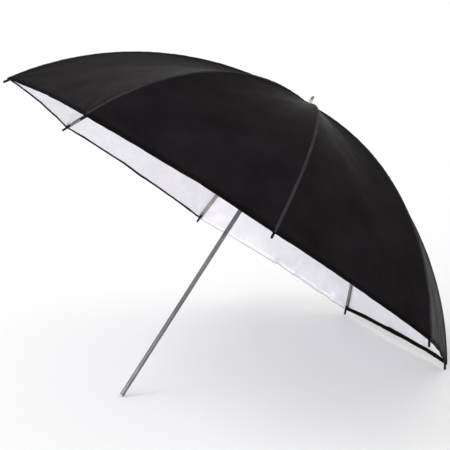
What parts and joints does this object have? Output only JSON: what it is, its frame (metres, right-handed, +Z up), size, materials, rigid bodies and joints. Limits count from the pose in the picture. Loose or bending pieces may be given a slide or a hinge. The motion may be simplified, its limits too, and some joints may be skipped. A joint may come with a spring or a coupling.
{
  "type": "umbrella reflector",
  "caption": "Folding photographic umbrella reflector: black domed canopy with silver lining, steel ribs and stretchers, sliding runner and slim tubular shaft.",
  "frame": {"origin": "on the floor under the middle of the opened umbrella, which rests on the end of its shaft and on two neighbouring rib tips", "axes": "+Z up, +X the way the umbrella leans, from the shaft's end towards the two rib tips on the floor, and +Y across, along the line between those two tips"},
  "size_m": [0.6742, 0.856, 0.5754],
  "materials": {
    "chrome": "bright chrome plating",
    "steel": "plain bright wire",
    "rib_steel": "thin nickel plate over folded steel strip",
    "brass": "nickel plated brass, bright",
    "spring_steel": "tempered spring steel",
    "black_plastic": "moulded black plastic",
    "tip_plastic": "moulded black plastic, slightly glossy",
    "canopy_fabric": "black satin nylon outside, silver metallised lining inside"
  },
  "bodies": {
    "shaft": {"shaft_tube": "chrome", "end_plug": "black_plastic", "stop_pin": "steel", "crown": "black_plastic", "crown_wire": "steel", "crown_pin": "steel", "ferrule_pin": "chrome", "ferrule_collar": "brass", "canopy_patch": "canopy_fabric"},
    "runner": {"runner_sleeve": "chrome", "runner_notch_ring": "black_plastic", "runner_wire": "steel"},
    "catch": {"catch_spring": "spring_steel"},
    "rib_body_1": {"rib_1": "rib_steel", "rib_tip_1": "tip_plastic", "rib_joint_1": "rib_steel", "canopy_panel_1": "canopy_fabric"},
    "rib_body_2": {"rib_2": "rib_steel", "rib_tip_2": "tip_plastic", "rib_joint_2": "rib_steel", "canopy_panel_2": "canopy_fabric"},
    "rib_body_3": {"rib_3": "rib_steel", "rib_tip_3": "tip_plastic", "rib_joint_3": "rib_steel", "canopy_panel_3": "canopy_fabric"},
    "rib_body_4": {"rib_4": "rib_steel", "rib_tip_4": "tip_plastic", "rib_joint_4": "rib_steel", "canopy_panel_4": "canopy_fabric"},
    "rib_body_5": {"rib_5": "rib_steel", "rib_tip_5": "tip_plastic", "rib_joint_5": "rib_steel", "canopy_panel_5": "canopy_fabric"},
    "rib_body_6": {"rib_6": "rib_steel", "rib_tip_6": "tip_plastic", "rib_joint_6": "rib_steel", "canopy_panel_6": "canopy_fabric"},
    "rib_body_7": {"rib_7": "rib_steel", "rib_tip_7": "tip_plastic", "rib_joint_7": "rib_steel", "canopy_panel_7": "canopy_fabric"},
    "rib_body_8": {"rib_8": "rib_steel", "rib_tip_8": "tip_plastic", "rib_joint_8": "rib_steel", "canopy_panel_8": "canopy_fabric"},
    "stretcher_body_1": {"stretcher_1": "rib_steel"},
    "stretcher_body_2": {"stretcher_2": "rib_steel"},
    "stretcher_body_3": {"stretcher_3": "rib_steel"},
    "stretcher_body_4": {"stretcher_4": "rib_steel"},
    "stretcher_body_5": {"stretcher_5": "rib_steel"},
    "stretcher_body_6": {"stretcher_6": "rib_steel"},
    "stretcher_body_7": {"stretcher_7": "rib_steel"},
    "stretcher_body_8": {"stretcher_8": "rib_steel"}
  },
  "joints": [
    {"name": "runner_slide", "type": "slide", "parent": "shaft", "child": "runner", "axis": [-0.6282, 0, -0.7781], "range_m": [0, 0.30833], "deforming": ["canopy_panel_1", "canopy_panel_2", "canopy_panel_3", "canopy_panel_4", "canopy_panel_5", "canopy_panel_6", "canopy_panel_7", "canopy_panel_8"]},
    {"name": "catch_press", "type": "hinge", "parent": "shaft", "child": "catch", "pos_m": [0.0216, -0.00245, 0.30091], "axis": [-0.7781, 0, 0.6282], "range_deg": [0, 4], "stiffness_Nm_per_rad": 0.55},
    {"name": "rib_fold_1", "type": "hinge", "parent": "shaft", "child": "rib_body_1", "pos_m": [0.16137, 0.00306, 0.46226], "axis": [-0.2978, 0.9239, 0.2404], "range_deg": [0, 59]},
    {"name": "stretcher_fold_1", "type": "hinge", "parent": "rib_body_1", "child": "stretcher_body_1", "pos_m": [0.28708, 0.08937, 0.28627], "axis": [0.2978, -0.9239, -0.2404], "range_deg": [0, 112.17]},
    {"name": "rib_fold_2", "type": "hinge", "parent": "shaft", "child": "rib_body_2", "pos_m": [0.158, 0.00739, 0.46498], "axis": [-0.7189, 0.3827, 0.5803], "range_deg": [0, 59]},
    {"name": "stretcher_fold_2", "type": "hinge", "parent": "rib_body_2", "child": "stretcher_body_2", "pos_m": [0.18874, 0.21576, 0.36567], "axis": [0.7189, -0.3827, -0.5803], "range_deg": [0, 112.17]},
    {"name": "rib_fold_3", "type": "hinge", "parent": "shaft", "child": "rib_body_3", "pos_m": [0.15323, 0.00739, 0.46883], "axis": [-0.7189, -0.3827, 0.5803], "range_deg": [0, 59]},
    {"name": "stretcher_fold_3", "type": "hinge", "parent": "rib_body_3", "child": "stretcher_body_3", "pos_m": [0.04966, 0.21576, 0.47794], "axis": [0.7189, 0.3827, -0.5803], "range_deg": [0, 112.17]},
    {"name": "rib_fold_4", "type": "hinge", "parent": "shaft", "child": "rib_body_4", "pos_m": [0.14986, 0.00306, 0.47155], "axis": [-0.2978, -0.9239, 0.2404], "range_deg": [0, 59]},
    {"name": "stretcher_fold_4", "type": "hinge", "parent": "rib_body_4", "child": "stretcher_body_4", "pos_m": [-0.04868, 0.08937, 0.55734], "axis": [0.2978, 0.9239, -0.2404], "range_deg": [0, 112.17]},
    {"name": "rib_fold_5", "type": "hinge", "parent": "shaft", "child": "rib_body_5", "pos_m": [0.14986, -0.00306, 0.47155], "axis": [0.2978, -0.9239, -0.2404], "range_deg": [0, 59]},
    {"name": "stretcher_fold_5", "type": "hinge", "parent": "rib_body_5", "child": "stretcher_body_5", "pos_m": [-0.04868, -0.08937, 0.55734], "axis": [-0.2978, 0.9239, 0.2404], "range_deg": [0, 112.17]},
    {"name": "rib_fold_6", "type": "hinge", "parent": "shaft", "child": "rib_body_6", "pos_m": [0.15323, -0.00739, 0.46883], "axis": [0.7189, -0.3827, -0.5803], "range_deg": [0, 59]},
    {"name": "stretcher_fold_6", "type": "hinge", "parent": "rib_body_6", "child": "stretcher_body_6", "pos_m": [0.04966, -0.21576, 0.47794], "axis": [-0.7189, 0.3827, 0.5803], "range_deg": [0, 112.17]},
    {"name": "rib_fold_7", "type": "hinge", "parent": "shaft", "child": "rib_body_7", "pos_m": [0.158, -0.00739, 0.46498], "axis": [0.7189, 0.3827, -0.5803], "range_deg": [0, 59]},
    {"name": "stretcher_fold_7", "type": "hinge", "parent": "rib_body_7", "child": "stretcher_body_7", "pos_m": [0.18874, -0.21576, 0.36567], "axis": [-0.7189, -0.3827, 0.5803], "range_deg": [0, 112.17]},
    {"name": "rib_fold_8", "type": "hinge", "parent": "shaft", "child": "rib_body_8", "pos_m": [0.16137, -0.00306, 0.46226], "axis": [0.2978, 0.9239, -0.2404], "range_deg": [0, 59]},
    {"name": "stretcher_fold_8", "type": "hinge", "parent": "rib_body_8", "child": "stretcher_body_8", "pos_m": [0.28708, -0.08937, 0.28627], "axis": [-0.2978, -0.9239, 0.2404], "range_deg": [0, 112.17]}
  ],
  "couplings": [
    {"joint": "rib_fold_1", "follows": "runner_slide", "rad_per_m": 3.3397},
    {"joint": "stretcher_fold_1", "follows": "runner_slide", "rad_per_m": 6.3493},
    {"joint": "rib_fold_2", "follows": "runner_slide", "rad_per_m": 3.3397},
    {"joint": "stretcher_fold_2", "follows": "runner_slide", "rad_per_m": 6.3493},
    {"joint": "rib_fold_3", "follows": "runner_slide", "rad_per_m": 3.3397},
    {"joint": "stretcher_fold_3", "follows": "runner_slide", "rad_per_m": 6.3493},
    {"joint": "rib_fold_4", "follows": "runner_slide", "rad_per_m": 3.3397},
    {"joint": "stretcher_fold_4", "follows": "runner_slide", "rad_per_m": 6.3493},
    {"joint": "rib_fold_5", "follows": "runner_slide", "rad_per_m": 3.3397},
    {"joint": "stretcher_fold_5", "follows": "runner_slide", "rad_per_m": 6.3493},
    {"joint": "rib_fold_6", "follows": "runner_slide", "rad_per_m": 3.3397},
    {"joint": "stretcher_fold_6", "follows": "runner_slide", "rad_per_m": 6.3493},
    {"joint": "rib_fold_7", "follows": "runner_slide", "rad_per_m": 3.3397},
    {"joint": "stretcher_fold_7", "follows": "runner_slide", "rad_per_m": 6.3493},
    {"joint": "rib_fold_8", "follows": "runner_slide", "rad_per_m": 3.3397},
    {"joint": "stretcher_fold_8", "follows": "runner_slide", "rad_per_m": 6.3493}
  ]
}
